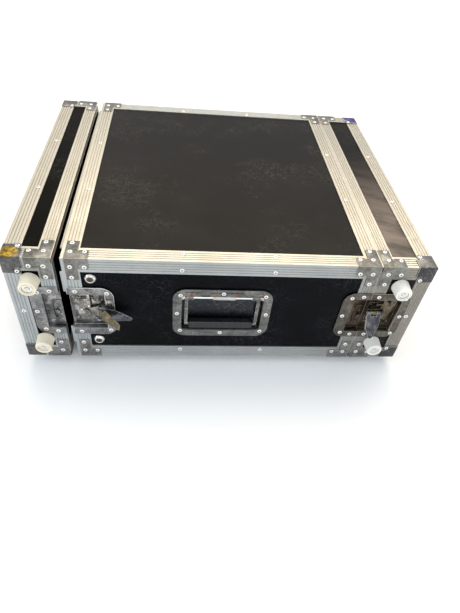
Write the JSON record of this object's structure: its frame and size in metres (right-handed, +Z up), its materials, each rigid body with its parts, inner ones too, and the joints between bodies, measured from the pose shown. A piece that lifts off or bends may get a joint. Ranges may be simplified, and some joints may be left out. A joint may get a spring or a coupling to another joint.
{
  "type": "rack flight case",
  "caption": "Black laminated rack flight case for effects units, with two lift-off lids, ribbed metal edges, riveted corner hardware, recessed side handles and turning latches.",
  "frame": {"origin": "middle of the whole case's footprint, on the floor under the feet", "axes": "+X from the front lid towards the rear lid, +Y towards the side without lid feet, +Z up"},
  "size_m": [0.656, 0.5946, 0.2385],
  "materials": {
    "laminated_ply": "low sheen laminate",
    "aluminium_profile": "satin, ribbed",
    "zinc_steel": "zinc plated, dulled",
    "rivet_steel": "bright",
    "bright_steel": "bright",
    "black_steel": "semi-gloss",
    "cream_rubber": "satin",
    "white_rubber": "satin",
    "black_rubber": "matte",
    "grip_rubber": "worn matte"
  },
  "bodies": {
    "case_body": {"top_panel": "laminated_ply", "bottom_panel": "laminated_ply", "right_side_panel": "laminated_ply", "left_side_panel": "laminated_ply", "long_edge_profiles": "aluminium_profile", "front_end_frame": "aluminium_profile", "rear_end_frame": "aluminium_profile", "body_braces": "zinc_steel", "body_rivets": "rivet_steel", "right_rack_rail": "black_steel", "left_rack_rail": "black_steel", "cup_washers": "bright_steel", "rail_screws": "bright_steel", "rail_nuts": "bright_steel", "body_feet": "black_rubber", "body_foot_screws": "bright_steel", "front_latch_dishes": "zinc_steel", "rear_keeper_dishes": "zinc_steel", "front_latch_pivots": "zinc_steel", "front_padlock_loops": "zinc_steel", "handle_dishes": "zinc_steel", "handle_rods": "bright_steel"},
    "front_lid": {"front_lid_panel": "laminated_ply", "front_lid_rim_panels": "laminated_ply", "front_lid_edge_profiles": "aluminium_profile", "front_lid_seam_frame": "aluminium_profile", "front_lid_braces": "zinc_steel", "front_lid_corner_caps": "zinc_steel", "front_lid_rivets": "rivet_steel", "front_lid_feet": "cream_rubber", "front_lid_foot_screws": "bright_steel", "front_keeper_dishes": "zinc_steel"},
    "rear_lid": {"rear_lid_panel": "laminated_ply", "rear_lid_rim_panels": "laminated_ply", "rear_lid_edge_profiles": "aluminium_profile", "rear_lid_seam_frame": "aluminium_profile", "rear_lid_braces": "zinc_steel", "rear_lid_corner_caps": "zinc_steel", "rear_lid_rivets": "rivet_steel", "rear_lid_feet": "white_rubber", "rear_lid_foot_screws": "bright_steel", "rear_latch_dishes": "zinc_steel", "rear_latch_pivots": "zinc_steel", "rear_padlock_loops": "zinc_steel"},
    "right_handle": {"right_handle_bail": "zinc_steel", "right_handle_grip": "grip_rubber"},
    "left_handle": {"left_handle_bail": "zinc_steel", "left_handle_grip": "grip_rubber"},
    "right_front_rotor": {"right_front_latch_rotor": "zinc_steel"},
    "right_front_pointed": {"right_front_pointed_wing": "zinc_steel"},
    "right_front_slotted": {"right_front_slotted_wing": "zinc_steel"},
    "left_front_rotor": {"left_front_latch_rotor": "zinc_steel"},
    "left_front_pointed": {"left_front_pointed_wing": "zinc_steel"},
    "left_front_slotted": {"left_front_slotted_wing": "zinc_steel"},
    "right_rear_rotor": {"right_rear_latch_rotor": "zinc_steel"},
    "right_rear_slotted": {"right_rear_slotted_wing": "zinc_steel"},
    "right_rear_pointed": {"right_rear_pointed_wing": "zinc_steel"},
    "left_rear_rotor": {"left_rear_latch_rotor": "zinc_steel"},
    "left_rear_slotted": {"left_rear_slotted_wing": "zinc_steel"},
    "left_rear_pointed": {"left_rear_pointed_wing": "zinc_steel"}
  },
  "joints": [
    {"name": "front_lid_slide", "type": "slide", "parent": "case_body", "child": "front_lid", "axis": [-1, 0, 0], "range_m": [-0.012, 0.12]},
    {"name": "rear_lid_slide", "type": "slide", "parent": "case_body", "child": "rear_lid", "axis": [1, 0, 0], "range_m": [0, 0.12]},
    {"name": "right_handle_swing", "type": "hinge", "parent": "case_body", "child": "right_handle", "pos_m": [-0.0025, -0.2595, 0.159], "axis": [-1, 0, 0], "range_deg": [0, 90]},
    {"name": "left_handle_swing", "type": "hinge", "parent": "case_body", "child": "left_handle", "pos_m": [-0.0025, 0.2595, 0.159], "axis": [1, 0, 0], "range_deg": [0, 90]},
    {"name": "right_front_latch_turn", "type": "hinge", "parent": "case_body", "child": "right_front_rotor", "pos_m": [-0.2185, -0.265, 0.125], "axis": [0, -1, 0], "range_deg": [0, 90]},
    {"name": "right_front_pointed_fold", "type": "hinge", "parent": "right_front_rotor", "child": "right_front_pointed", "pos_m": [-0.195, -0.2698, 0.131], "axis": [-0.1736, 0, -0.9848], "range_deg": [-6, 60]},
    {"name": "right_front_slotted_fold", "type": "hinge", "parent": "right_front_pointed", "child": "right_front_slotted", "pos_m": [-0.195, -0.2698, 0.131], "axis": [-0.1736, 0, -0.9848], "range_deg": [-22, 80]},
    {"name": "left_front_latch_turn", "type": "hinge", "parent": "case_body", "child": "left_front_rotor", "pos_m": [-0.2185, 0.265, 0.125], "axis": [0, -1, 0], "range_deg": [0, 90]},
    {"name": "left_front_pointed_fold", "type": "hinge", "parent": "left_front_rotor", "child": "left_front_pointed", "pos_m": [-0.195, 0.2698, 0.131], "axis": [0.1736, 0, 0.9848], "range_deg": [-6, 60]},
    {"name": "left_front_slotted_fold", "type": "hinge", "parent": "left_front_pointed", "child": "left_front_slotted", "pos_m": [-0.195, 0.2698, 0.131], "axis": [0.1736, 0, 0.9848], "range_deg": [-22, 80]},
    {"name": "right_rear_latch_turn", "type": "hinge", "parent": "rear_lid", "child": "right_rear_rotor", "pos_m": [0.2615, -0.265, 0.125], "axis": [0, -1, 0], "range_deg": [0, 90]},
    {"name": "right_rear_slotted_fold", "type": "hinge", "parent": "right_rear_rotor", "child": "right_rear_slotted", "pos_m": [0.2505, -0.2698, 0.142], "axis": [-0.9994, 0, -0.0349], "range_deg": [-3, 80]},
    {"name": "right_rear_pointed_fold", "type": "hinge", "parent": "right_rear_slotted", "child": "right_rear_pointed", "pos_m": [0.2505, -0.2698, 0.142], "axis": [-0.9994, 0, -0.0349], "range_deg": [-7, 80]},
    {"name": "left_rear_latch_turn", "type": "hinge", "parent": "rear_lid", "child": "left_rear_rotor", "pos_m": [0.2615, 0.265, 0.125], "axis": [0, -1, 0], "range_deg": [0, 90]},
    {"name": "left_rear_slotted_fold", "type": "hinge", "parent": "left_rear_rotor", "child": "left_rear_slotted", "pos_m": [0.2505, 0.2698, 0.142], "axis": [0.9994, 0, 0.0349], "range_deg": [-3, 80]},
    {"name": "left_rear_pointed_fold", "type": "hinge", "parent": "left_rear_slotted", "child": "left_rear_pointed", "pos_m": [0.2505, 0.2698, 0.142], "axis": [0.9994, 0, 0.0349], "range_deg": [-7, 80]}
  ]
}
